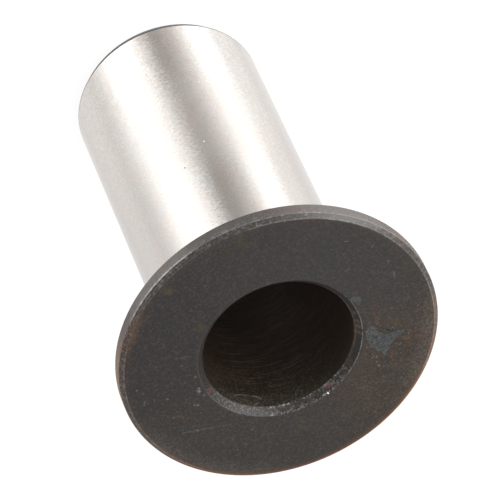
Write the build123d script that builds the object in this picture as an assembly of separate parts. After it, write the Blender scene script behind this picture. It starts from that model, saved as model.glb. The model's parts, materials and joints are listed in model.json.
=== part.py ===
from build123d import *
import os

# Flanged bushing for a swingarm pivot, turned from one piece of steel.
# The bore runs along Z. The origin is on its axis, in the plane of the flange's
# seating shoulder: the sleeve goes down from there and the flange goes up.

# Sizes in millimetres
bore_diameter = 17.2          # clears a 17 mm pivot bolt
sleeve_wall = 2.4             # gives the ground outside diameter of 22.0
sleeve_length = 45.85         # from the shoulder to the free end
flange_overhang = 7.2         # how far the flange stands out from the sleeve
flange_thickness = 2.4
rim_chamfer = 0.5             # at 45 degrees, on both edges of the flange
mouth_chamfer = 0.8           # at 45 degrees, at both mouths of the bore
lead_in_length = 1.0          # taper at the sleeve's free end, along the axis
lead_in_drop = 0.55           # the same taper, measured inwards
root_fillet = 0.3             # left by the tool where the sleeve meets the flange

bore_radius = bore_diameter / 2
sleeve_radius = bore_radius + sleeve_wall
flange_radius = sleeve_radius + flange_overhang


def section():
    """Half of the bushing's cross-section, in the XZ plane."""
    outline = [
        (bore_radius + mouth_chamfer, flange_thickness),
        (flange_radius - rim_chamfer, flange_thickness),
        (flange_radius, flange_thickness - rim_chamfer),
        (flange_radius, rim_chamfer),
        (flange_radius - rim_chamfer, 0),
        (sleeve_radius, 0),
        (sleeve_radius, lead_in_length - sleeve_length),
        (sleeve_radius - lead_in_drop, -sleeve_length),
        (bore_radius + mouth_chamfer, -sleeve_length),
        (bore_radius, mouth_chamfer - sleeve_length),
        (bore_radius, flange_thickness - mouth_chamfer),
    ]
    with BuildSketch(Plane.XZ) as sketch:
        with BuildLine():
            Polyline(*outline, close=True)
        make_face()
        root = sketch.vertices().sort_by_distance((sleeve_radius, 0, 0))[0]
        fillet(root, radius=root_fillet)
    return sketch.sketch


def bushing():
    """The whole part: its section turned round the bore's axis."""
    body = revolve(section(), axis=Axis.Z)
    body.label = "bushing"
    return body


os.makedirs("parts", exist_ok=True)
export_step(bushing(), "parts/bushing.step")
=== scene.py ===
# Flanged swingarm bushing, standing on its sleeve's end with the flange up
import json
import math

import bmesh
import bpy
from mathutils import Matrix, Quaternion, Vector, noise


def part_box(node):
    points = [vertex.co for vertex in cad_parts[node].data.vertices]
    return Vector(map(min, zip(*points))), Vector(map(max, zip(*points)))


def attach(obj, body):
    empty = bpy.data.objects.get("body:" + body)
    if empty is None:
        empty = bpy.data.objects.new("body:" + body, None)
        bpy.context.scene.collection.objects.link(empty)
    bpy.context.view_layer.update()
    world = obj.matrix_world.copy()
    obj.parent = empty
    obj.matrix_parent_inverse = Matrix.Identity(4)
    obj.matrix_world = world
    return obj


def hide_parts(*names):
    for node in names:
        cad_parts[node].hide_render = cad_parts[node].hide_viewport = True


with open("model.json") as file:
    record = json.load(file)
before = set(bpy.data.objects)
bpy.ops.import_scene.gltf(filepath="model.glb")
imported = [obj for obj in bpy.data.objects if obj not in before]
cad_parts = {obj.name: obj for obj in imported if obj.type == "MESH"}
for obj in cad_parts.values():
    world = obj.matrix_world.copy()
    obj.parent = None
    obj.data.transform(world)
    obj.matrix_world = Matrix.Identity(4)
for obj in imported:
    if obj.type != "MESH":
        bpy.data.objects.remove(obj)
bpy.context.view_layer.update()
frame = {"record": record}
mm = 0.001


def mount(name):
    return next(m for m in frame["record"]["mounts"] if m["name"] == name)


# what the frame says of the bushing
low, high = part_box("bushing")
footZ = low.z
faceZ = high.z
flangeRadius = high.x
boreRadius = mount("bore")["dims"]["r_mm"] * mm
sleeveRadius = mount("journal")["dims"]["r_mm"] * mm
# the same in millimetres, in which the materials have their places
faceMm, rimMm, boreMm = faceZ / mm, flangeRadius / mm, boreRadius / mm


# Short calls for building node trees
def put(tree, kind, inputs=None, **settings):
    made = tree.nodes.new("ShaderNode" + kind)
    for name, value in settings.items():
        setattr(made, name, value)
    for place, value in (inputs or {}).items():
        if isinstance(value, bpy.types.NodeSocket):
            tree.links.new(value, made.inputs[place])
        else:
            made.inputs[place].default_value = value
    return made


def calc(tree, operation, *values):
    return put(tree, "Math", dict(enumerate(values)), operation=operation).outputs[0]


def times(tree, first, *others):
    for other in others:
        first = calc(tree, "MULTIPLY", first, other)
    return first


def most(tree, first, *others):
    for other in others:
        first = calc(tree, "MAXIMUM", first, other)
    return first


def vector(tree, operation, *values):
    made = put(tree, "VectorMath", dict(enumerate(values)), operation=operation)
    single = operation in ("DOT_PRODUCT", "LENGTH", "DISTANCE")
    return made.outputs["Value" if single else "Vector"]


def stretched(tree, where, x, y, z):
    return vector(tree, "MULTIPLY", where, (x, y, z))


def apart(tree, where, x, y, z):    # places further on, so that two noises don't agree
    return vector(tree, "ADD", where, (x, y, z))


def combine(tree, x, y, z):
    return put(tree, "CombineXYZ", {0: x, 1: y, 2: z}).outputs[0]


def fade(tree, value, start, end, low=0.0, high=1.0):    # soft step from low to high
    inputs = {0: value, 1: start, 2: end, 3: low, 4: high}
    # it stays in its range by itself, and each clamp costs the renderer one of its 255 slots
    step = put(tree, "MapRange", inputs, interpolation_type="SMOOTHSTEP", clamp=False)
    return step.outputs[0]


def tint(tree, amount, first, second):
    pair = (first, second)
    colours = [c if isinstance(c, bpy.types.NodeSocket) else (*c, 1.0) for c in pair]
    inputs = {0: amount, 6: colours[0], 7: colours[1]}
    return put(tree, "Mix", inputs, data_type="RGBA").outputs[2]


def grain(tree, where, scale, detail=2.0, rough=0.5):
    inputs = {"Vector": where, "Scale": scale, "Detail": detail, "Roughness": rough}
    return put(tree, "TexNoise", inputs).outputs[0]


def flecks(tree, where, density, size, share):
    # round flecks: so many to a mm, this wide, in this share of the places
    cells = put(tree, "TexVoronoi", {"Vector": where, "Scale": density})
    chance = put(tree, "SeparateColor", {0: cells.outputs["Color"]}).outputs[0]
    reach = size * density / 2
    dot = fade(tree, cells.outputs["Distance"], reach * 0.6, reach * 1.4, 1.0, 0.0)
    return times(tree, dot, fade(tree, chance, 1 - share, 1 - share * 0.8))


def bump(tree, height, depth, below=None):
    inputs = {"Height": height, "Distance": depth * mm, "Strength": 1.0}
    if below:
        inputs["Normal"] = below
    return put(tree, "Bump", inputs).outputs[0]


def facing(tree, flat, angle, half, soft):
    # 1 on one side of the axis: about an angle, to half a width either way, with soft ends
    turn = math.radians(angle)
    ahead = vector(tree, "DOT_PRODUCT", flat, (math.cos(turn), math.sin(turn), 0.0))
    start = math.cos(math.radians(half + soft))
    end = math.cos(math.radians(max(half - soft, 0)))
    return fade(tree, ahead, start, end)


def ring(tree, place, radius, height, width):    # 1 on a circle round the axis, 0 from width away
    away = combine(tree, place["out"], place["z"], 0.0)
    away = vector(tree, "DISTANCE", away, (radius, height, 0.0))
    return fade(tree, away, 0.0, width, 1.0, 0.0)


def warped(tree, where, scale, reach):    # places moved about by noise, for ragged outlines
    noisy = put(tree, "TexNoise", {"Vector": where, "Scale": scale, "Detail": 4.0}).outputs[1]
    shift = vector(tree, "SUBTRACT", noisy, (0.5, 0.5, 0.5))
    shift = vector(tree, "MULTIPLY", shift, (reach, reach, 0.0))
    return vector(tree, "ADD", where, shift)


def spots(tree, where, places):    # x, y, radius and strength of each
    amount = 0.0
    for x, y, radius, strength in places:
        away = vector(tree, "DISTANCE", where, (x, y, 0.0))
        amount = most(tree, amount, fade(tree, away, 0.0, radius, strength, 0.0))
    return amount


def strokes(tree, where, places, soft):    # start, end, half width at each, strength
    amount = 0.0
    for start, end, wide, narrow, strength in places:
        start, run = Vector((*start, 0)), Vector((*end, 0)) - Vector((*start, 0))
        offset = vector(tree, "SUBTRACT", where, tuple(start))
        along = vector(tree, "DOT_PRODUCT", offset, tuple(run / run.length_squared))
        along = calc(tree, "MINIMUM", calc(tree, "MAXIMUM", along, 0.0), 1.0)
        nearest = put(tree, "VectorMath", {0: tuple(run), "Scale": along}, operation="SCALE")
        away = vector(tree, "DISTANCE", offset, nearest.outputs[0])
        reach = put(tree, "MapRange", {0: along, 3: wide, 4: narrow}, clamp=False).outputs[0]
        inside = fade(tree, calc(tree, "SUBTRACT", away, reach), -soft, soft, strength, 0.0)
        amount = most(tree, amount, inside)
    return amount


def dots(tree, where, places):    # place in space, radius and strength of each, sharper than spots
    amount = 0.0
    for spot, radius, strength in places:
        away = vector(tree, "DISTANCE", where, spot)
        amount = most(tree, amount, fade(tree, away, radius * 0.5, radius, strength, 0.0))
    return amount


def surface(name):
    # a material, and places on the part: where, its x, y and z, and level, out and flat
    # across the axis
    material = bpy.data.materials.new(name)
    material.use_nodes = True
    tree = material.node_tree
    spot = put(tree, "TexCoord").outputs["Object"]
    where = put(tree, "Mapping", {"Vector": spot, "Scale": (1 / mm, 1 / mm, 1 / mm)}).outputs[0]
    x, y, z = put(tree, "SeparateXYZ", {0: where}).outputs
    level = combine(tree, x, y, 0.0)
    place = {"where": where, "x": x, "y": y, "z": z, "level": level}
    place["out"] = vector(tree, "LENGTH", level)
    place["flat"] = vector(tree, "NORMALIZE", level)
    return material, tree, tree.nodes["Principled BSDF"], place


# Ground steel: the sleeve's outside
groundLook = {
    "colour": (0.908, 0.863, 0.822),
    "near": (0.788, 0.748, 0.711),       # the same, darker towards the flange: painted shade under it
    "between": (-42.0, -12.0),           # the heights between which one turns to the other
    "dull": (0.640, 0.600, 0.570),
    "warm": (0.830, 0.750, 0.705),
    "cool": (0.740, 0.760, 0.740),
    "speck": (0.30, 0.27, 0.25),
    "specks": (0.45, 0.16, 0.08),        # per mm, width, in what share of the places
    "speckStrength": 0.7,
    "glint": (1.0, 1.0, 1.0),
    "roughness": 0.20,
    "worn": 0.30,                        # roughness of the zone halfway along
    "wornMiddle": (-2.0, -11.0, -27.0),
    "wornReach": (4.0, 14.0),            # full to the first distance, gone by the second
    # noises: how often it changes in a mm, across, along or both, then detail and roughness
    "streaks": (2.2, 5.5, 2.0, 0.6),
    "cast": (0.6, 0.35, 3.0, 0.7),
    "fine": (5.0, 7.0, 1.0, 0.5),
    "pits": (4.5, 2.0, 0.7),
    "streakTurn": 0.17,                  # how far streaks turn the surface round the axis
    "pitDepth": 0.0016,
}
# lone marks on the sleeve, in mm: where, radius, how dark
sleeveMarks = [
    ((1.43, -10.91, -19.58), 0.15, 1.0), ((0.81, -10.97, -30.04), 0.16, 0.2),
    ((0.45, -10.99, -29.8), 0.14, 0.2), ((0.05, -11.0, -29.59), 0.14, 0.2),
    ((-0.35, -10.99, -29.45), 0.14, 0.15), ((2.4, -10.73, -33.5), 0.12, 0.3),
]
# and the two painted highlights: white glints painted on the sleeve
paintedGlints = [((-1.76, -10.86, -22.51), 0.115, 1.0), ((-4.05, -10.23, -33.34), 0.10, 1.0)]


def drawn(tree, where, across, along, detail, rough):    # a noise of other scale along the axis
    return grain(tree, stretched(tree, where, across, across, along), 1.0, detail, rough)


def groundSteel():
    look = groundLook
    material, tree, shader, place = surface("ground_steel")
    where, z = place["where"], place["z"]
    streaks = drawn(tree, where, *look["streaks"])
    pits = grain(tree, where, *look["pits"])
    fine = drawn(tree, where, *look["fine"])
    # painted shade: the steel's colour darkens towards the flange
    colour = tint(tree, fade(tree, z, *look["between"]), look["colour"], look["near"])
    cast = drawn(tree, where, *look["cast"])
    colour = tint(tree, fade(tree, cast, 0.50, 0.62, 0.0, 0.75), colour, look["warm"])
    colour = tint(tree, fade(tree, cast, 0.48, 0.36, 0.0, 0.65), colour, look["cool"])
    colour = tint(tree, fade(tree, streaks, 0.40, 0.58, 0.35, 0.0), colour, look["dull"])
    colour = tint(tree, fade(tree, pits, 0.40, 0.58, 0.35, 0.0), colour, look["dull"])
    colour = tint(tree, fade(tree, fine, 0.38, 0.60, 0.45, 0.0), colour, look["dull"])
    marks = times(tree, flecks(tree, where, *look["specks"]), look["speckStrength"])
    marks = most(tree, marks, dots(tree, where, sleeveMarks))
    colour = tint(tree, marks, colour, look["speck"])
    # painted highlight: white dots, not metal, where glints of light show
    shine = dots(tree, where, paintedGlints)
    colour = tint(tree, shine, colour, look["glint"])
    metal = calc(tree, "SUBTRACT", 1.0, shine)
    tree.links.new(metal, shader.inputs["Metallic"])
    tree.links.new(colour, shader.inputs["Base Color"])
    away = vector(tree, "DISTANCE", where, look["wornMiddle"])
    middle = fade(tree, away, *look["wornReach"], 1.0, 0.0)
    rough = fade(tree, middle, 0.0, 1.0, look["roughness"], look["worn"])
    tree.links.new(rough, shader.inputs["Roughness"])
    turned = vector(tree, "CROSS_PRODUCT", (0.0, 0.0, 1.0), place["flat"])
    by = times(tree, calc(tree, "SUBTRACT", streaks, 0.5), look["streakTurn"])
    turned = put(tree, "VectorMath", {0: turned, "Scale": by}, operation="SCALE").outputs[0]
    plain = put(tree, "NewGeometry").outputs["Normal"]
    turned = vector(tree, "NORMALIZE", vector(tree, "ADD", plain, turned))
    tree.links.new(bump(tree, pits, look["pitDepth"], turned), shader.inputs["Normal"])
    return material


# Black steel: the flange and all else that the grinding left as it was
blackLook = {
    "plum": (0.0250, 0.0185, 0.0175),
    "green": (0.0185, 0.0190, 0.0165),
    "brown": (0.0235, 0.0165, 0.0115),
    "rusty": (0.0400, 0.0210, 0.0085),
    "pit": (0.0070, 0.0060, 0.0055),
    "speckle": (0.070, 0.062, 0.056),
    "fleck": (0.120, 0.108, 0.098),
    "pale": (0.170, 0.135, 0.095),
    "stain": (0.0430, 0.0265, 0.0155),
    "rust": (0.092, 0.044, 0.020),
    "ochre": (0.046, 0.030, 0.008),
    "bare": (0.052, 0.057, 0.058),
    "bareDark": (0.026, 0.028, 0.027),
    "bareGreen": (0.064, 0.066, 0.050),
    "barePale": (0.096, 0.100, 0.098),
    "margin": (0.068, 0.037, 0.021),
    "dusty": (0.102, 0.079, 0.060),
    "dustyGrey": (0.085, 0.076, 0.068),
    "edgeRust": (0.168, 0.064, 0.023),
    "slopeRust": (0.155, 0.067, 0.027),
    "rim": (0.168, 0.143, 0.131),
    "rimTan": (0.180, 0.140, 0.116),
    "rimBrown": (0.335, 0.218, 0.152),
    "rimPale": (0.225, 0.202, 0.188),
    "rimDark": (0.100, 0.093, 0.088),
    "chamfer": (0.042, 0.038, 0.036),
    "chamferBrown": (0.076, 0.053, 0.039),
    "bright": (0.46, 0.44, 0.42),
    "freshAndHighlight": (0.58, 0.58, 0.58),         # bare metal where a corner has just been knocked, partly a painted highlight along the rim's edge
    "roughness": 0.47,
    "rimRoughness": 0.62,
    "rustRoughness": 0.3,                # what rust adds
    "wornMetal": 0.8,
    "rimMetal": 0.35,
    "specular": 0.5,
    "mottleDepth": 0.012,
    "pitDepth": 0.006,
}
# how fine each of its noises is in a mm, detail, roughness
blackNoises = {
    "mottle": (3.2, 3.0, 0.7),
    "pits": (4.6, 2.0, 0.6),
    "green": (0.42, 4.0, 0.65),
    "cloud": (0.33, 4.0, 0.7),
    "busy": (4.0, 3.0, 0.75),
    "dashes": (1.7, 4.0, 0.75),
}
# sides of the flange: middle, half width and softness, in degrees round from +X
sides = {
    "lessGreen": (45, 85, 25),
    "browner": (50, 60, 30),
    "rusty": (138, 26, 18),
    "darker": (-34, 34, 24),
    "paler": (-150, 34, 24),
    "rough": (145, 38, 25),
    "dusty": (150, 18, 13),
    "dustyGrey": (40, 25, 14),
    "stained": (137, 26, 14),
    "peppered": (52, 42, 26),
    "rustGrains": (150, 30, 28),
    "flecked": (28, 30, 30),
    "alsoFlecked": (-8, 14, 14),
    "lessFlecked": (66, 24, 18),
    "warmFlecks": (145, 24, 20),
    "margin": (84, 48, 24),
    "brownChamfer": (-22, 28, 12),
    "rusted": (90, 66, 30),
    # knocked: the rim's knocked edge, partly a painted highlight
    "knocked": (-58, 14, 6),
}
# the rim's other tones
rimSides = [
    ((180, 32, 14), "rimTan"), ((0, 26, 12), "rimBrown"), ((-60, 12, 8), "rimPale"),
    ((-92, 12, 8), "rimDark"), ((-132, 12, 8), "rimPale"),
]
# bands at the flange's edge, in mm in from it: where each begins and where it is full
bands = {
    "dust": (3.0, 0.3),
    "margin": (1.35, 0.65),
    "rusted": (0.80, 0.50),
    "slope": (0.52, 0.44),
    "side": (0.10, 0.02),
}
# marks on the flange's face, in mm across it: strokes have a start, an end, half the width
# at each and a strength, and spots have x, y, radius and strength
barePatches = [
    ((-10.3, 5.4), (-10.0, 2.85), 0.95, 0.50, 1.0),
    ((-11.2, 5.1), (-12.95, 4.97), 0.75, 0.30, 1.0),
    ((-10.7, 5.7), (-10.25, 6.95), 0.85, 0.20, 1.0),
    ((-9.7, 5.4), (-9.25, 3.9), 0.35, 0.25, 1.0),
    ((-9.95, -1.95), (-9.5, -2.35), 0.36, 0.36, 1.0),
    ((-9.85, -1.7), (-9.8, -1.3), 0.32, 0.15, 1.0),
    ((-9.75, 3.2), (-9.75, 4.2), 0.60, 0.55, 1.0),
]
bareHoles = [
    (-10.1, 4.3, 0.35, 0.9), (-9.8, 3.9, 0.28, 0.8), (-10.9, 4.7, 0.28, 0.8),
    (-9.9, 5.2, 0.22, 0.6), (-10.3, 5.9, 0.2, 0.5), (-11.6, 5.3, 0.25, 0.5),
    (-10.1, 3.1, 0.2, 0.5), (-9.35, 4.6, 0.2, 0.5),
]
# the first three strokes are a painted shadow along the lower left edge of the bare patch; the
# others are dark marks
shadowAndDarkLines = [
    ((-12.2, 4.4), (-11.7, 4.0), 0.05, 0.16, 0.7), ((-11.7, 4.0), (-11.2, 3.4), 0.16, 0.05, 0.9),
    ((-13.4, 4.6), (-12.3, 4.35), 0.05, 0.06, 0.35), ((-9.3, 3.6), (-9.1, 2.7), 0.12, 0.20, 0.6),
    ((-10.4, 8.2), (-10.3, 7.2), 0.10, 0.05, 0.5), ((-12.9, 5.55), (-12.1, 5.35), 0.05, 0.10, 0.5),
]
stains = [
    (-7.0, 10.4, 2.6, 0.5), (-12.0, 9.2, 2.8, 0.45), (-13.5, 3.2, 2.6, 0.5),
    (-11.5, 1.0, 2.4, 0.5), (-6.6, 10.0, 1.4, 0.9), (-15.2, 6.6, 2.0, 0.6),
    (-6.6, 13.0, 2.6, 0.5), (-3.4, 12.7, 1.6, 0.7), (14.2, -10.4, 1.5, 1.0),
    (12.4, -12.3, 1.4, 0.7), (16.0, -6.0, 0.7, 0.6), (13.2, 2.9, 1.0, 0.6),
    (1.2, 11.4, 1.8, 0.5), (-8.6, -13.6, 1.6, 0.5), (3.0, -9.8, 2.0, 0.35),
    (9.0, 9.5, 3.0, 0.25),
]
rustSpots = [
    (-13.3, 6.2, 0.65, 1.0), (-12.6, 5.75, 0.5, 0.8), (-13.9, 6.3, 0.5, 0.6),
    (-14.1, 4.9, 0.75, 0.55), (-14.9, 6.6, 0.7, 0.5), (-11.1, 7.3, 0.55, 0.5),
    (-6.8, 10.2, 0.7, 0.35), (-2.3, 15.3, 0.45, 0.45), (13.7, -10.8, 0.7, 0.7),
    (15.0, -9.2, 0.6, 0.6), (6.2, -16.5, 0.6, 0.35), (-3.6, 12.9, 0.6, 0.3),
    (-8.7, 7.7, 0.9, 0.3), (7.2, -9.2, 0.6, 0.2), (-9.9, -2.9, 0.6, 0.3),
    (-1.5, 16.6, 0.5, 0.3), (13.1, 2.9, 0.45, 0.45), (-13.9, 5.3, 0.7, 0.4),
    (-14.5, 5.3, 0.6, 0.35), (-13.1, 6.9, 0.6, 0.45), (-10.85, 0.85, 0.35, 0.35),
    (14.1, -10.6, 0.7, 0.5),
]
rustLines = [
    ((-10.8, 2.5), (-11.1, 1.7), 0.16, 0.16, 0.9), ((-11.1, 1.7), (-10.9, 0.8), 0.16, 0.08, 0.75),
    ((-11.0, 0.0), (-10.9, -0.5), 0.10, 0.12, 0.4), ((-10.5, 8.9), (-11.2, 7.1), 0.10, 0.16, 0.35),
    ((-14.9, -8.9), (-16.4, -6.5), 0.05, 0.05, 0.2),
    ((15.2, -8.8), (12.8, -12.0), 0.30, 0.38, 0.65),
]
ochreSpots = [
    (6.9, -7.7, 1.1, 0.8), (8.5, -14.5, 0.95, 1.0), (-0.8, -16.8, 1.1, 0.8),
    (6.5, 13.2, 0.9, 0.4), (4.2, -13.8, 0.9, 0.35), (-13.1, 3.9, 0.9, 0.7),
    (-12.2, 3.2, 0.9, 0.7), (1.2, 11.3, 0.9, 0.4), (-10.9, 8.3, 0.8, 0.4),
    (-4.8, 12.6, 0.7, 0.3), (12.4, 3.4, 0.9, 0.4), (-16.3, -3.6, 1.4, 0.5),
]
scratches = [
    ((8.3, 7.2), (10.3, 6.45), 0.02, 0.02, 0.14), ((10.3, 6.45), (11.9, 5.95), 0.02, 0.03, 0.22),
    ((11.9, 5.95), (13.6, 5.35), 0.03, 0.02, 0.30),
    ((-10.35, -6.6), (-9.8, -6.5), 0.05, 0.04, 0.14),
    ((9.2, -4.55), (10.4, -4.75), 0.02, 0.03, 0.12), ((9.7, -4.2), (10.9, -5.1), 0.02, 0.02, 0.12),
    ((-13.8, -8.2), (-13.5, -8.1), 0.05, 0.04, 0.12),
    ((-11.4, -10.3), (-11.1, -10.5), 0.05, 0.04, 0.18),
    ((-14.75, -3.6), (-14.55, -2.9), 0.06, 0.05, 0.16),
    ((15.9, -1.2), (16.1, -0.7), 0.05, 0.04, 0.20),
]
chips = [
    (10.0, 0.75, 0.30, 0.45), (9.9, 0.3, 0.22, 0.40), (10.2, 0.5, 0.2, 0.3),
    (9.7, 1.5, 0.22, 0.25), (10.8, 2.5, 0.22, 0.3), (11.1, 2.3, 0.18, 0.3),
    (13.5, -0.2, 0.18, 0.30), (14.9, -0.6, 0.14, 0.25), (-14.65, -5.3, 0.2, 0.22),
    (6.5, 9.2, 0.2, 0.2), (4.6, -12.9, 0.2, 0.2), (13.8, 2.7, 0.17, 0.3),
    (8.9, 11.0, 0.15, 0.4), (16.15, -3.1, 0.2, 0.25), (15.65, -2.3, 0.15, 0.2),
    (9.7, -1.4, 0.15, 0.25),
]
# pale grains stuck in the rust
paleSpots = [
    (-9.15, 8.2, 0.2, 0.9), (-9.1, 7.6, 0.16, 0.8), (-9.35, 6.9, 0.2, 0.8),
    (-9.1, 6.6, 0.13, 0.6), (-11.5, 7.6, 0.2, 0.7), (-11.95, 7.8, 0.14, 0.6),
    (-10.8, 7.75, 0.12, 0.6), (-12.2, 6.6, 0.15, 0.8), (-12.0, 6.35, 0.12, 0.7),
    (-13.2, 5.75, 0.15, 0.7), (-12.85, 5.9, 0.12, 0.6), (-12.4, 6.5, 0.12, 0.6),
    (-11.4, 1.2, 0.14, 0.6), (-8.1, 10.4, 0.14, 0.5), (-10.1, 8.9, 0.12, 0.5),
    (-3.8, 16.0, 0.15, 0.4), (-2.2, 14.6, 0.18, 0.3), (-7.4, 12.7, 0.12, 0.4),
    (-12.7, 7.0, 0.12, 0.5), (-13.6, 5.6, 0.12, 0.5), (14.9, 1.75, 0.15, 0.4),
    (14.3, 2.2, 0.14, 0.4), (12.2, 2.6, 0.14, 0.4), (11.8, 2.75, 0.15, 0.5),
]
# the same rust and grains where they lie on the flange's chamfer
chamferRust = [((15.3, -9.3), (13.1, -12.1), 0.45, 0.40, 0.6)]
chamferGrains = [
    (12.6, -12.6, 0.2, 0.8), (14.1, -10.9, 0.2, 0.6), (13.4, -11.7, 0.15, 0.5),
    (14.7, -10.3, 0.14, 0.4),
]
# spots round the mouth, and its one painted highlight, a white glint: x, y and radius
redSpots = [
    (8.95, 1.55, 0.5, 0.6), (-3.3, 8.35, 0.42, 1.0), (-8.3, 2.75, 0.3, 0.6),
    (-1.65, -9.5, 0.4, 0.35),
]
beigeSpots = [
    (-8.85, 1.95, 0.45, 0.8), (-8.9, 1.2, 0.4, 0.6), (-8.95, -0.1, 0.5, 0.4),
    (-8.55, 2.8, 0.35, 0.7),
]
paintedMouthGlint = (-2.8, 8.93, 0.12)
# circles on the flange's chamfer: radius and height
circles = {
    "inner": (rimMm - 0.5, faceMm),
    "outer": (rimMm, faceMm - 0.5),
    "slope": (rimMm - 0.25, faceMm - 0.25),
    "slopeTop": (rimMm - 0.45, faceMm),
}
# worn lines along them, partly painted highlights along the edges: middle, half width and softness
# in degrees, and strength
wornAndHighlightEdges = [
    ("inner", (-140, 42, 12), 0.34), ("inner", (2, 36, 12), 0.36), ("outer", (-136, 20, 12), 0.35),
    ("outer", (-62, 14, 8), 1.0), ("outer", (-95, 8, 8), 0.4), ("inner", (165, 24, 12), 0.5),
    ("slope", (-58, 10, 8), 0.3), ("slopeTop", (-54, 22, 12), 0.22),
]
wornAndHighlightLineWidth = 0.13
knockedWidth = 0.17


def band(tree, out, name):
    start, full = bands[name]
    return fade(tree, out, rimMm - start, rimMm - full)


def blackSteel():
    look, noises = blackLook, blackNoises
    material, tree, shader, place = surface("black_steel")
    names = ("where", "level", "flat", "z", "out")
    where, level, flat, z, out = (place[name] for name in names)
    onFace = fade(tree, z, faceMm - 0.6, faceMm - 0.3)
    loose, close = warped(tree, level, 1.3, 1.1), warped(tree, level, 2.6, 0.45)

    mottle = grain(tree, where, *noises["mottle"])
    pits = grain(tree, apart(tree, where, 40.0, 0.0, 0.0), *noises["pits"])
    greenish = fade(tree, grain(tree, where, *noises["green"]), 0.42, 0.58)
    less = fade(tree, facing(tree, flat, *sides["lessGreen"]), 0.0, 1.0, 1.0, 0.5)
    colour = tint(tree, times(tree, greenish, less), look["plum"], look["green"])
    cloud = grain(tree, apart(tree, where, 0.0, 30.0, 0.0), *noises["cloud"])
    colour = tint(tree, fade(tree, cloud, 0.46, 0.66, 0.0, 0.8), colour, look["brown"])
    for side, tone, strength in (("browner", "brown", 0.55), ("rusty", "rusty", 0.35),
                                 ("darker", "pit", 0.40), ("paler", "speckle", 0.08)):
        share = times(tree, facing(tree, flat, *sides[side]), strength)
        colour = tint(tree, share, colour, look[tone])
    patchy = fade(tree, mottle, 0.35, 0.65, 0.4, 1.0)
    stain = times(tree, spots(tree, loose, stains), patchy, onFace)
    colour = tint(tree, stain, colour, look["stain"])
    ochre = times(tree, spots(tree, loose, ochreSpots), onFace)
    colour = tint(tree, ochre, colour, look["ochre"])
    colour = tint(tree, fade(tree, pits, 0.44, 0.30, 0.0, 0.75), colour, look["pit"])
    colour = tint(tree, fade(tree, mottle, 0.44, 0.74, 0.0, 0.45), colour, look["speckle"])

    # the side where the rust has begun: livelier, and dusty towards the edge
    rough = times(tree, facing(tree, flat, *sides["rough"]), onFace)
    busy = grain(tree, apart(tree, where, 0.0, 0.0, 60.0), *noises["busy"])
    dust = times(tree, rough, fade(tree, busy, 0.52, 0.68, 0.0, 0.38))
    colour = tint(tree, dust, colour, look["dusty"])
    holes = times(tree, rough, fade(tree, busy, 0.46, 0.32, 0.0, 0.55))
    colour = tint(tree, holes, colour, look["pit"])
    uneven = fade(tree, busy, 0.40, 0.60, 0.08, 1.0)
    outward = times(tree, band(tree, out, "dust"), uneven, onFace)
    dust = times(tree, outward, facing(tree, flat, *sides["dusty"]))
    colour = tint(tree, dust, colour, look["dusty"])
    dust = times(tree, outward, facing(tree, flat, *sides["dustyGrey"]), 0.7)
    colour = tint(tree, dust, colour, look["dustyGrey"])
    mouthward = fade(tree, out, boreMm + 2.0, boreMm + 0.9)
    mouthward = times(tree, mouthward, facing(tree, flat, *sides["stained"]))
    colour = tint(tree, times(tree, mouthward, onFace, 0.3), colour, look["stain"])
    peppered = times(tree, facing(tree, flat, *sides["peppered"]), onFace)
    dust = times(tree, peppered, fade(tree, busy, 0.56, 0.70, 0.0, 0.38))
    colour = tint(tree, dust, colour, look["dustyGrey"])
    holes = times(tree, peppered, fade(tree, busy, 0.44, 0.32, 0.0, 0.5))
    colour = tint(tree, holes, colour, look["pit"])

    # rust, and the patches where the black has come off
    rust = most(tree, spots(tree, loose, rustSpots), strokes(tree, close, rustLines, 0.12))
    rustGrains = fade(tree, pits, 0.55, 0.68, 0.0, 0.45)
    rustGrains = times(tree, facing(tree, flat, *sides["rustGrains"]), rustGrains)
    patchy = fade(tree, mottle, 0.36, 0.56, 0.15, 1.0)
    rust = times(tree, most(tree, rust, rustGrains), patchy, onFace)
    colour = tint(tree, rust, colour, look["rust"])
    # dark lines, among them a painted shadow along the bare patch's lower left edge
    dark = times(tree, strokes(tree, close, shadowAndDarkLines, 0.08), onFace)
    colour = tint(tree, dark, colour, look["pit"])
    patchy = fade(tree, mottle, 0.32, 0.56)
    # painted shade: a dark outline round the bare patches
    shadeHalo = times(tree, strokes(tree, close, barePatches, 0.22), patchy, onFace, 0.8)
    colour = tint(tree, shadeHalo, colour, look["pit"])
    bare = times(tree, strokes(tree, close, barePatches, 0.06), onFace)
    bare = times(tree, bare, calc(tree, "SUBTRACT", 1.0, spots(tree, close, bareHoles)))
    tone = fade(tree, cloud, 0.42, 0.52, 0.0, 0.7)
    tone = tint(tree, tone, look["bare"], look["bareGreen"])
    tone = tint(tree, fade(tree, pits, 0.58, 0.42), tone, look["bareDark"])
    tone = tint(tree, fade(tree, busy, 0.5, 0.64, 0.0, 0.8), tone, look["barePale"])
    colour = tint(tree, times(tree, bare, 0.92), colour, tone)
    grains = times(tree, spots(tree, close, paleSpots), onFace)
    grains = times(tree, grains, fade(tree, busy, 0.35, 0.55, 0.4, 1.0))
    colour = tint(tree, grains, colour, look["pale"])

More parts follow.
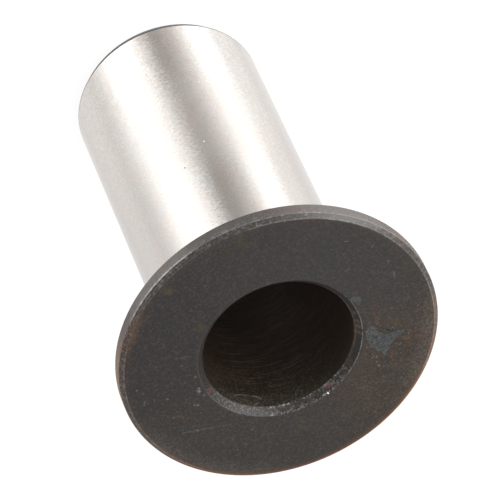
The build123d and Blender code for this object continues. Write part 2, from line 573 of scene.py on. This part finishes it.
    # flecks: more of them on the side of +X, few elsewhere
    lively = most(tree, facing(tree, flat, *sides["flecked"]),
                  facing(tree, flat, *sides["alsoFlecked"]), 0.25)
    lively = most(tree, lively, times(tree, facing(tree, flat, *sides["lessFlecked"]), 0.75))
    coarse = times(tree, flecks(tree, where, 1.9, 0.15, 0.12), lively)
    fine = times(tree, flecks(tree, where, 3.4, 0.11, 0.10), most(tree, lively, 0.5))
    flecked = times(tree, most(tree, coarse, fine), 0.7, onFace)
    colour = tint(tree, flecked, colour, look["fleck"])
    warm = flecks(tree, apart(tree, where, 7.0, 3.0, 0.0), 2.3, 0.15, 0.22)
    warm = times(tree, warm, onFace, facing(tree, flat, *sides["warmFlecks"]), 0.7)
    colour = tint(tree, warm, colour, look["pale"])

    # the face's margin, the rim and its chamfer
    margin = most(tree, facing(tree, flat, *sides["margin"]), 0.25)
    margin = times(tree, band(tree, out, "margin"), margin)
    margin = times(tree, margin, fade(tree, mottle, 0.3, 0.6, 0.4, 1.0), onFace)
    colour = tint(tree, margin, colour, look["margin"])
    side = band(tree, out, "side")
    slope = times(tree, band(tree, out, "slope"), fade(tree, z, 1.2, 1.6))
    brown = facing(tree, flat, *sides["brownChamfer"])
    slopeTone = tint(tree, brown, look["chamfer"], look["chamferBrown"])
    patchy = fade(tree, mottle, 0.36, 0.6, 0.25, 1.0)
    colour = tint(tree, times(tree, slope, patchy), colour, slopeTone)
    patchy = fade(tree, mottle, 0.36, 0.56, 0.4, 1.0)
    rust = times(tree, strokes(tree, close, chamferRust, 0.12), patchy, slope)
    colour = tint(tree, rust, colour, look["rust"])
    grains = times(tree, spots(tree, close, chamferGrains), slope)
    colour = tint(tree, grains, colour, look["pale"])
    rim = look["rim"]
    for sector, tone in rimSides:
        patchy = fade(tree, cloud, 0.35, 0.55, 0.4, 0.9)
        rim = tint(tree, times(tree, facing(tree, flat, *sector), patchy), rim, look[tone])
    patchy = fade(tree, mottle, 0.3, 0.55, 0.65, 0.95)
    colour = tint(tree, times(tree, side, patchy), colour, rim)
    rusted = times(tree, band(tree, out, "rusted"), facing(tree, flat, *sides["rusted"]))
    patchy = fade(tree, mottle, 0.3, 0.6, 0.6, 1.0)
    rusted = times(tree, rusted, patchy, fade(tree, z, 1.0, 1.6))
    rustTone = tint(tree, slope, look["edgeRust"], look["slopeRust"])
    colour = tint(tree, rusted, colour, rustTone)

    # scratches, chips, and worn edges that are partly painted highlights
    worn = most(tree, strokes(tree, close, scratches, 0.04), spots(tree, close, chips))
    worn = times(tree, worn, onFace)
    dashes = fade(tree, grain(tree, where, *noises["dashes"]), 0.42, 0.60, 0.3, 1.0)
    for circle, sector, strength in wornAndHighlightEdges:
        line = ring(tree, place, *circles[circle], wornAndHighlightLineWidth)
        line = times(tree, line, facing(tree, flat, *sector), dashes, strength)
        worn = most(tree, worn, line)
    rubbed = times(tree, slope, dashes, fade(tree, mottle, 0.50, 0.64), 0.3)
    worn = most(tree, worn, rubbed)
    colour = tint(tree, worn, colour, look["bright"])
    # partly painted highlight: a bright grey line, not metal, along the rim's knocked edge
    freshAndHighlight = ring(tree, place, *circles["outer"], knockedWidth)
    freshAndHighlight = times(tree, freshAndHighlight, facing(tree, flat, *sides["knocked"]), dashes)
    colour = tint(tree, freshAndHighlight, colour, look["freshAndHighlight"])
    red = times(tree, spots(tree, close, redSpots), onFace)
    colour = tint(tree, red, colour, mouthLook["red"])
    tree.links.new(colour, shader.inputs["Base Color"])
    clean = calc(tree, "SUBTRACT", 1.0, rusted)
    metal = times(tree, side, clean, look["rimMetal"])
    metal = most(tree, times(tree, worn, look["wornMetal"]), metal)
    tree.links.new(metal, shader.inputs["Metallic"])
    dull = fade(tree, side, 0.0, 1.0, look["roughness"], look["rimRoughness"])
    dull = calc(tree, "ADD", dull, times(tree, rusted, look["rustRoughness"]))
    dull = calc(tree, "ADD", dull, fade(tree, mottle, 0.3, 0.7, -0.05, 0.05))
    tree.links.new(dull, shader.inputs["Roughness"])
    shader.inputs["Specular IOR Level"].default_value = look["specular"]
    relief = bump(tree, mottle, look["mottleDepth"])
    relief = bump(tree, pits, look["pitDepth"], relief)
    tree.links.new(relief, shader.inputs["Normal"])
    return material


# The bore's mouth: a rough chamfer, with its black scale broken
mouthLook = {
    "scale": (0.024, 0.0195, 0.0165),
    "grey": (0.040, 0.0360, 0.0335),
    "pale": (0.150, 0.138, 0.129),
    "beige": (0.160, 0.118, 0.085),
    "bright": (0.40, 0.375, 0.355),
    "red": (0.150, 0.055, 0.043),
    "glint": (1.0, 1.0, 1.0),
    # noises: how fine in a mm, detail, roughness
    "grains": (2.6, 4.0, 0.75),
    "sparks": (3.2, 2.0, 0.6),
    "crumbs": (4.4, 2.0, 0.7),
    "lumps": (1.6, 3.0, 0.6),
    # sides: middle, half width and softness, in degrees round from +X
    "ground": (38, 22, 15),
    "broken": (98, 34, 10),
    "greyed": (188, 36, 16),
    "bared": (176, 34, 16),
    "lined": (166, 36, 16),
    # circles on it: radius, height, width
    "outerEdge": (boreMm + 0.70, faceMm - 0.10, 0.22),
    "innerEdge": (boreMm + 0.05, faceMm - 0.75, 0.26),
    "baredEdge": (boreMm + 0.1, faceMm - 0.72, 0.35),
    "line": (boreMm + 0.76, faceMm - 0.03, 0.10),
    "brightMetal": 0.6,
    "roughness": 0.5,
    "specular": 0.35,
    "grainDepth": 0.05,
    "sparkDepth": 0.025,
}


def mouthSteel():
    look = mouthLook
    material, tree, shader, place = surface("mouth_steel")
    where, flat = place["where"], place["flat"]
    grains = grain(tree, where, *look["grains"])
    sparks = grain(tree, apart(tree, where, 0.0, 20.0, 0.0), *look["sparks"])
    crumbs = grain(tree, apart(tree, where, 0.0, 50.0, 0.0), *look["crumbs"])
    ground = facing(tree, flat, *look["ground"])
    broken = facing(tree, flat, *look["broken"])
    greyed = times(tree, facing(tree, flat, *look["greyed"]), 0.8)
    greyed = times(tree, most(tree, ground, greyed, 0.2), fade(tree, grains, 0.3, 0.55))
    colour = tint(tree, greyed, look["scale"], look["grey"])
    inward = fade(tree, place["out"], boreMm + 0.75, boreMm + 0.4, 0.5, 1.0)
    pale = times(tree, ground, inward, fade(tree, crumbs, 0.51, 0.63), 0.8)
    colour = tint(tree, pale, colour, look["pale"])
    colour = tint(tree, fade(tree, crumbs, 0.47, 0.34, 0.0, 0.7), colour, blackLook["pit"])
    lumps = grain(tree, apart(tree, where, 0.0, 9.0, 0.0), *look["lumps"])
    pale = times(tree, broken, fade(tree, lumps, 0.50, 0.64), 0.5)
    colour = tint(tree, pale, colour, look["pale"])
    outer = ring(tree, place, *look["outerEdge"])
    inner = ring(tree, place, *look["innerEdge"])
    edges = most(tree, times(tree, outer, 0.7), times(tree, inner, 0.85), 0.12)
    flaked = times(tree, broken, edges, fade(tree, crumbs, 0.50, 0.64))
    # paler where the corner with the bore has lost its scale
    bared = ring(tree, place, *look["baredEdge"])
    bared = times(tree, bared, facing(tree, flat, *look["bared"]))
    bared = times(tree, bared, fade(tree, grains, 0.35, 0.6, 0.2, 0.45))
    colour = tint(tree, bared, colour, look["beige"])
    lined = most(tree, facing(tree, flat, *look["lined"]), 0.15)
    line = times(tree, ring(tree, place, *look["line"]), lined)
    line = times(tree, line, fade(tree, grains, 0.35, 0.55), 0.8)
    bright = most(tree, flaked, line)
    colour = tint(tree, bright, colour, look["bright"])
    level = warped(tree, place["level"], 2.6, 0.45)
    speckled = fade(tree, sparks, 0.35, 0.55, 0.4, 1.0)
    for places, tone in ((beigeSpots, "beige"), (redSpots, "red")):
        share = times(tree, spots(tree, level, places), speckled)
        colour = tint(tree, share, colour, look[tone])
    # painted highlight: a white dot where a glint of light shows
    x, y, radius = paintedMouthGlint
    away = vector(tree, "DISTANCE", place["level"], (x, y, 0.0))
    shine = fade(tree, away, radius * 0.6, radius, 1.0, 0.0)
    colour = tint(tree, shine, colour, look["glint"])
    tree.links.new(colour, shader.inputs["Base Color"])
    tree.links.new(times(tree, bright, look["brightMetal"]), shader.inputs["Metallic"])
    shader.inputs["Roughness"].default_value = look["roughness"]
    shader.inputs["Specular IOR Level"].default_value = look["specular"]
    relief = bump(tree, grains, look["grainDepth"])
    relief = bump(tree, sparks, look["sparkDepth"], relief)
    tree.links.new(relief, shader.inputs["Normal"])
    return material


# The bore: as turned, and black
boreLook = {
    "dark": (0.0150, 0.0098, 0.0068),
    "light": (0.1230, 0.0900, 0.0700),
    "dirt": (0.050, 0.040, 0.027),
    "film": (0.036, 0.033, 0.024),
    "grit": (0.130, 0.118, 0.100),
    "red": (0.075, 0.026, 0.018),
    "swarf": (0.20, 0.18, 0.15),
    # noises: how often each changes in a mm, across, along or both, then detail and roughness
    "mottle": (3.0, 3.0, 0.7),
    "grooves": (0.25, 4.2, 1.0, 0.5),
    "patches": (0.5, 0.8, 3.0, 0.6),
    "specks": (4.6, 3.0, 0.75),
    # sides: middle, half width and softness, in degrees round from +X
    "turned": (84, 30, 20),
    "unlit": (130, 40, 30),
    "filmy": (75, 45, 25),
    "dirty": (46, 14, 10),
    "gritty": (60, 60, 25),
    "grooveShare": 0.42,
    "grooveDepth": 0.006,
    "mottleDepth": 0.012,
    "roughness": 0.5,
    "specular": 0.1,
}
# shreds of swarf stuck in the dirt: places along the wall, round it from +X and up
swarf = [
    ((5.6, 0.45), (6.2, 0.02), 0.05, 0.06, 0.5), ((6.2, 0.02), (6.9, -0.18), 0.06, 0.06, 0.7),
    ((6.9, -0.18), (7.7, -0.22), 0.06, 0.05, 0.7), ((8.1, -0.22), (8.6, -0.16), 0.05, 0.07, 0.8),
    ((8.6, -0.16), (8.95, 0.05), 0.07, 0.06, 0.9), ((8.95, 0.05), (9.05, 0.40), 0.06, 0.03, 0.8),
    ((7.9, 1.45), (8.5, 1.0), 0.06, 0.05, 0.6), ((12.95, 0.95), (13.05, 0.45), 0.06, 0.04, 0.5),
    ((13.05, 0.45), (13.3, 0.1), 0.03, 0.03, 0.4), ((13.3, 0.1), (13.9, -0.3), 0.03, 0.05, 0.4),
    ((3.4, 0.5), (4.6, 0.1), 0.04, 0.03, 0.25), ((9.2, 0.1), (9.5, -0.4), 0.04, 0.04, 0.3),
]


def boreSteel():
    look = boreLook
    material, tree, shader, place = surface("bore_steel")
    where, flat, z = place["where"], place["flat"], place["z"]
    top = faceMm
    mottle = grain(tree, where, *look["mottle"])
    grooves = drawn(tree, where, *look["grooves"])
    patches = drawn(tree, where, *look["patches"])
    deep = fade(tree, z, top - 3.0, top - 7.0, 0.3, 1.0)
    turned = times(tree, fade(tree, patches, 0.38, 0.56, 0.2, 1.0), deep)
    sector = facing(tree, flat, *look["turned"])
    turned = times(tree, turned, fade(tree, sector, 0.0, 1.0, 0.3, 1.0))
    grooves = times(tree, fade(tree, grooves, 0.48, 0.64), turned)
    # painted light: lighter far in and on the side that the lamp doesn't reach, making up for the
    # light that doesn't get there
    aside = calc(tree, "SUBTRACT", calc(tree, "MAXIMUM", place["x"], 1.5), 1.5)
    share = fade(tree, calc(tree, "ADD", z, aside), top - 3.0, top - 17.0, 0.0, 0.7)
    upper = fade(tree, z, top - 12.0, top - 3.0, 0.0, 0.19)
    share = calc(tree, "ADD", share, times(tree, facing(tree, flat, *look["unlit"]), upper))
    share = calc(tree, "ADD", share, fade(tree, mottle, 0.3, 0.7, 0.0, 0.10))
    share = calc(tree, "ADD", share, times(tree, grooves, look["grooveShare"]))
    colour = tint(tree, share, look["dark"], look["light"])
    film = times(tree, fade(tree, z, top - 3.4, top - 2.2), facing(tree, flat, *look["filmy"]))
    film = times(tree, film, fade(tree, mottle, 0.3, 0.6), 0.8)
    colour = tint(tree, film, colour, look["film"])
    dirt = times(tree, fade(tree, z, top - 2.6, top - 1.8), facing(tree, flat, *look["dirty"]))
    dirt = times(tree, dirt, fade(tree, mottle, 0.35, 0.55), 0.7)
    colour = tint(tree, dirt, colour, look["dirt"])
    specks = grain(tree, apart(tree, where, 11.0, 0.0, 0.0), *look["specks"])
    reach = fade(tree, z, top - 10.0, top - 3.0)
    reach = times(tree, reach, facing(tree, flat, *look["gritty"]))
    grit = times(tree, fade(tree, specks, 0.50, 0.74, 0.0, 0.8), most(tree, reach, 0.18))
    colour = tint(tree, grit, colour, look["grit"])
    reds = flecks(tree, apart(tree, where, 3.0, 0.0, 0.0), 0.9, 0.35, 0.25)
    colour = tint(tree, times(tree, reds, reach, 0.5), colour, look["red"])
    arc = times(tree, calc(tree, "ARCTAN2", place["y"], place["x"]), boreMm)
    wall = warped(tree, combine(tree, arc, z, 0.0), 2.0, 0.3)
    colour = tint(tree, strokes(tree, wall, swarf, 0.05), colour, look["swarf"])
    marks = spots(tree, warped(tree, place["level"], 2.6, 0.45), redSpots)
    marks = times(tree, marks, fade(tree, z, top - 2.8, top - 1.0))
    colour = tint(tree, marks, colour, mouthLook["red"])
    tree.links.new(colour, shader.inputs["Base Color"])
    shader.inputs["Roughness"].default_value = look["roughness"]
    shader.inputs["Specular IOR Level"].default_value = look["specular"]
    relief = bump(tree, grooves, look["grooveDepth"])
    relief = bump(tree, mottle, look["mottleDepth"], relief)
    tree.links.new(relief, shader.inputs["Normal"])
    return material


# The bushing
bushing = {
    "rimChamfer": 0.5 * mm,
    "mouthChamfer": 0.8 * mm,
    "leadInLength": 1.0 * mm,
    "leadInDrop": 0.55 * mm,
    "rootFillet": 0.3 * mm,
    "steps": 512,            # round the axis
    "blackEnd": 0.12 * mm,   # how far the end's black goes past the taper
    "edgeRound": 0.05 * mm,
    "nickDepth": 0.035 * mm,
    "nickReach": 0.2 * mm,
    "mouthRough": 0.03 * mm,
    # how often the noises of the nicks and of the rough mouth change in a mm
    "nickNoises": (1.7, 4.1),
    "mouthNoises": (2.6, 5.5),
    # how near the sleeve or the bore a face counts to it
    "nearSleeve": 0.05 * mm,
    "nearBore": 0.03 * mm,
}
# its finishes, in the order of its materials
finishes = {"ground": groundSteel, "black": blackSteel, "mouth": mouthSteel, "bore": boreSteel}


def section():
    # half of the cross-section: out from the axis, up, and how far apart in mm the rings are
    # on the line that follows
    part = bushing
    mouth, rim = part["mouthChamfer"], part["rimChamfer"]
    taperZ = footZ + part["leadInLength"]
    return [
        (boreRadius + mouth, faceZ, 0.32),
        (flangeRadius - rim, faceZ, 0.12),
        (flangeRadius, faceZ - rim, 0.2),
        (flangeRadius, rim, 0.2),
        (flangeRadius - rim, 0.0, 1.0),
        (sleeveRadius, 0.0, 6.0),
        (sleeveRadius, taperZ + part["blackEnd"], 1.0),
        (sleeveRadius, taperZ, 0.4),
        (sleeveRadius - part["leadInDrop"], footZ, 0.5),
        (boreRadius + mouth, footZ, 0.3),
        (boreRadius, footZ + mouth, 1.6),
        (boreRadius, faceZ - mouth, 0.1),
    ]


def wear(mesh):
    # nicks in the flange's front edges and a rough mouth, always inwards
    part = bushing
    mouth, rim = part["mouthChamfer"], part["rimChamfer"]
    edges = [Vector((flangeRadius - rim, faceZ)), Vector((boreRadius + mouth, faceZ)),
             Vector((boreRadius, faceZ - mouth))]
    wide, narrow = part["nickNoises"]
    broad, fine = part["mouthNoises"]
    mesh.normal_update()
    moves = []
    for vert in mesh.verts:
        spot = Vector((vert.co.to_2d().length, vert.co.z))
        place = vert.co / mm
        close = max(0.0, 1 - min((spot - edge).length for edge in edges) / part["nickReach"])
        nick = max(0.0, noise.noise(place * wide) - 0.12) * 2
        nick += max(0.0, noise.noise(place * narrow) - 0.1)
        depth = close * nick * part["nickDepth"]
        if spot.y > faceZ - mouth * 1.05 and spot.x < boreRadius + mouth * 1.05:
            rough = 0.4 + 0.6 * abs(noise.noise(place * fine))
            depth += part["mouthRough"] * (0.5 + 0.5 * noise.noise(place * broad)) * rough
        moves.append((vert, depth))
    for vert, depth in moves:
        vert.co -= vert.normal * depth


def divide(mesh, corners):
    # cuts each line of the section as finely as its rings are to be
    for edge in mesh.edges[:]:
        middle = (edge.verts[0].co + edge.verts[1].co) / 2
        for (r, z, gap), (rNext, zNext, _) in zip(corners, corners[1:] + corners[:1]):
            start, run = Vector((r, 0, z)), Vector((rNext - r, 0, zNext - z))
            off = (middle - start).cross(run).length / run.length
            along = (middle - start).dot(run) / run.length_squared
            cuts = int(edge.calc_length() / (gap * mm))
            if off < 0.0001 * mm and 0 < along < 1 and cuts > 0:
                bmesh.ops.subdivide_edges(mesh, edges=[edge], cuts=cuts)
                break


def finishOf(face):
    part = bushing
    middle = face.calc_center_median()
    out = middle.to_2d().length
    endZ = footZ + part["leadInLength"] + part["blackEnd"]
    if out > sleeveRadius - part["nearSleeve"] and -part["rootFillet"] > middle.z > endZ:
        return "ground"
    if out < boreRadius + part["nearBore"]:
        return "bore"
    if out < boreRadius + part["mouthChamfer"] + part["nearBore"] and middle.z > 0:
        return "mouth"
    return "black"


def makeBushing():
    part = bushing
    mesh = bmesh.new()
    corners = section()
    ends = [Vector((r, 0, z)) for r, z, gap in corners]
    points = [mesh.verts.new(end) for end in ends]
    mesh.faces.new(points)
    root = points[5]    # the corner under the flange
    bmesh.ops.bevel(mesh, geom=[root], offset=part["rootFillet"], offset_type="OFFSET",
                    segments=4, profile=0.5, affect="VERTICES", material=-1)
    sharp = [v for v in mesh.verts if any((v.co - end).length < 0.001 * mm for end in ends)]
    bmesh.ops.bevel(mesh, geom=sharp, offset=part["edgeRound"], offset_type="OFFSET",
                    segments=2, profile=0.5, affect="VERTICES", material=-1)
    bmesh.ops.delete(mesh, geom=mesh.faces[:], context="FACES_ONLY")
    divide(mesh, corners)
    bmesh.ops.spin(mesh, geom=mesh.verts[:] + mesh.edges[:], axis=(0, 0, 1), cent=(0, 0, 0),
                   angle=math.tau, steps=part["steps"], use_merge=True)
    bmesh.ops.remove_doubles(mesh, verts=mesh.verts, dist=0.002 * mm)
    bmesh.ops.recalc_face_normals(mesh, faces=mesh.faces)
    order = list(finishes)
    for face in mesh.faces:
        face.smooth = True
        face.material_index = order.index(finishOf(face))
    wear(mesh)
    print("bushing:", len(mesh.faces), "faces")
    data = bpy.data.meshes.new("bushing_body")
    mesh.to_mesh(data)
    mesh.free()
    body = bpy.data.objects.new("bushing_body", data)
    bpy.context.scene.collection.objects.link(body)
    for makeFinish in finishes.values():
        data.materials.append(makeFinish())
    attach(body, "root")
    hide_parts("bushing")


makeBushing()


# Floor, light and camera
studio = {
    "white": 1.0,
    "ambient": 0.8,
    "floorHalf": 3.0,        # half the floor's width
    "floorBounce": 0.8,      # how light it is for the part
    "floorPaint": 0.14,      # and for the camera, with the glow
    "floorGlow": 0.92,
    "keyFrom": (-0.42, -0.12, 0.30),
    "keySize": 0.25,
    "keyPower": 2.0,
    "overhead": 0.62,        # what faces that look up mirror
    # what polished metal mirrors below the horizon: degrees round the axis from -Y
    # towards -X, brightness, warmth
    "round": [
        (-180, 0.95, 0.020), (-160, 0.84, 0.015), (-140, 0.79, 0.018), (-115, 0.87, 0.010),
        (-100, 0.87, 0.010), (-88, 0.79, 0.008), (-75, 0.88, 0.0), (-62, 1.18, 0.0),
        (-50, 1.60, 0.0), (-20, 1.60, 0.0), (-8, 1.20, 0.0), (4, 0.71, 0.006),
        (12, 0.38, 0.040), (22, 0.43, 0.042), (32, 0.59, 0.034), (43, 0.82, 0.016),
        (52, 1.22, 0.0), (60, 1.62, 0.0), (82, 1.62, 0.0), (92, 1.11, 0.0),
        (112, 1.04, 0.008), (130, 0.87, 0.015), (145, 0.92, 0.012), (165, 0.93, 0.008),
        (180, 0.95, 0.010),
    ],
    "brightest": 2.0,
    "horizon": 0.15,         # softness of the step from what is below to what is above
    # a soft box: degrees round from +X, degrees up, half its width, softness, brightness
    "softBox": (194, 27, 16, 10, 3.0),
}


def mirroredLevels(tree):
    # what shines back from polished metal: bands round the axis below, a soft box above
    way = put(tree, "TexCoord").outputs["Generated"]
    x, y, z = put(tree, "SeparateXYZ", {0: way}).outputs
    angle = calc(tree, "ARCTAN2", times(tree, x, -1.0), times(tree, y, -1.0))
    share = calc(tree, "ADD", calc(tree, "DIVIDE", angle, math.tau), 0.5)
    ramp = put(tree, "ValToRGB", {0: share})
    ramp.color_ramp.interpolation = "EASE"
    stops = ramp.color_ramp.elements
    for index, (degrees, bright, warm) in enumerate(studio["round"]):
        position = degrees / 360 + 0.5
        stop = stops[index] if index < 1 else stops.new(position)
        stop.position = position
        bright /= studio["brightest"]
        stop.color = (bright * (1 + warm), bright * (1 - warm / 6), bright * (1 - warm), 1.0)
    turn, rise, half, soft, bright = studio["softBox"]
    turn, rise = math.radians(turn), math.radians(rise)
    flat = math.cos(rise)
    toward = (math.cos(turn) * flat, math.sin(turn) * flat, math.sin(rise))
    start, end = math.cos(math.radians(half + soft)), math.cos(math.radians(half - soft))
    ahead = vector(tree, "DOT_PRODUCT", way, toward)
    box = fade(tree, ahead, start, end, studio["overhead"], bright)
    up = fade(tree, z, -studio["horizon"], studio["horizon"])
    under = times(tree, calc(tree, "SUBTRACT", 1.0, up), studio["brightest"])
    below = put(tree, "VectorMath", {0: ramp.outputs[0], "Scale": under}, operation="SCALE")
    above = times(tree, up, box)
    return vector(tree, "ADD", below.outputs[0], combine(tree, above, above, above))


def studioWorld():
    world = bpy.data.worlds.new("studio")
    bpy.context.scene.world = world
    world.use_nodes = True
    world.cycles.sampling_method = "NONE"
    tree = world.node_tree
    tree.nodes.clear()
    mirrored = put(tree, "Background", {"Color": mirroredLevels(tree), "Strength": 1.0})
    plain = put(tree, "Background", {"Color": (1, 1, 1, 1), "Strength": studio["ambient"]})
    white = put(tree, "Background", {"Color": (1, 1, 1, 1), "Strength": studio["white"]})
    ray = put(tree, "LightPath").outputs
    seen = {0: ray["Is Glossy Ray"], 1: plain.outputs[0], 2: mirrored.outputs[0]}
    seen = put(tree, "MixShader", seen)
    straight = most(tree, ray["Is Camera Ray"], ray["Is Transmission Ray"])
    seen = put(tree, "MixShader", {0: straight, 1: seen.outputs[0], 2: white.outputs[0]})
    put(tree, "OutputWorld", {0: seen.outputs[0]})


def studioFloor():
    mesh = bmesh.new()
    bmesh.ops.create_grid(mesh, x_segments=1, y_segments=1, size=studio["floorHalf"])
    bmesh.ops.translate(mesh, verts=mesh.verts, vec=(0, 0, footZ))
    data = bpy.data.meshes.new("floor")
    mesh.to_mesh(data)
    mesh.free()
    floor = bpy.data.objects.new("floor", data)
    bpy.context.scene.collection.objects.link(floor)
    material = bpy.data.materials.new("floor")
    material.use_nodes = True
    tree = material.node_tree
    tree.nodes.clear()
    paint = put(tree, "BsdfDiffuse", {"Color": (studio["floorBounce"],) * 3 + (1,)})
    shown = put(tree, "BsdfDiffuse", {"Color": (studio["floorPaint"],) * 3 + (1,)})
    glow = put(tree, "Emission", {"Strength": studio["floorGlow"]})
    both = put(tree, "AddShader", {0: shown.outputs[0], 1: glow.outputs[0]})
    ray = put(tree, "LightPath").outputs["Is Camera Ray"]
    seen = put(tree, "MixShader", {0: ray, 1: paint.outputs[0], 2: both.outputs[0]})
    put(tree, "OutputMaterial", {0: seen.outputs[0]})
    data.materials.append(material)
    floor.visible_glossy = False


def keyLamp():
    data = bpy.data.lights.new("key", "AREA")
    data.shape = "DISK"
    data.size = studio["keySize"]
    data.energy = studio["keyPower"]
    lamp = bpy.data.objects.new("key", data)
    lamp.location = studio["keyFrom"]
    lamp.rotation_mode = "QUATERNION"
    lamp.rotation_quaternion = (-Vector(studio["keyFrom"])).to_track_quat("-Z", "Y")
    bpy.context.scene.collection.objects.link(lamp)


photoView = {
    "aim": (-1.416 * mm, -8.535 * mm, -4.968 * mm),   # the point in the middle of the picture
    "sight": (-0.00287, 0.65374, -0.75671),           # the way the camera looks
    "roll": math.radians(155.53),
    "distance": 493.0 * mm,
    "lens": 324.49,
    "sensor": 36.0,
    "clip": (0.01, 20.0),
}


def photoCamera():
    sight = Vector(photoView["sight"]).normalized()
    data = bpy.data.cameras.new("camera")
    data.lens = photoView["lens"]
    data.sensor_width = photoView["sensor"]
    data.clip_start, data.clip_end = photoView["clip"]
    camera = bpy.data.objects.new("camera", data)
    camera.location = Vector(photoView["aim"]) - sight * photoView["distance"]
    camera.rotation_mode = "QUATERNION"
    rolled = Quaternion((0, 0, 1), photoView["roll"])
    camera.rotation_quaternion = sight.to_track_quat("-Z", "Y") @ rolled
    bpy.context.scene.collection.objects.link(camera)
    bpy.context.scene.camera = camera


studioWorld()
studioFloor()
keyLamp()
photoCamera()
bpy.context.scene.view_settings.view_transform = "Standard"
print("studio made")
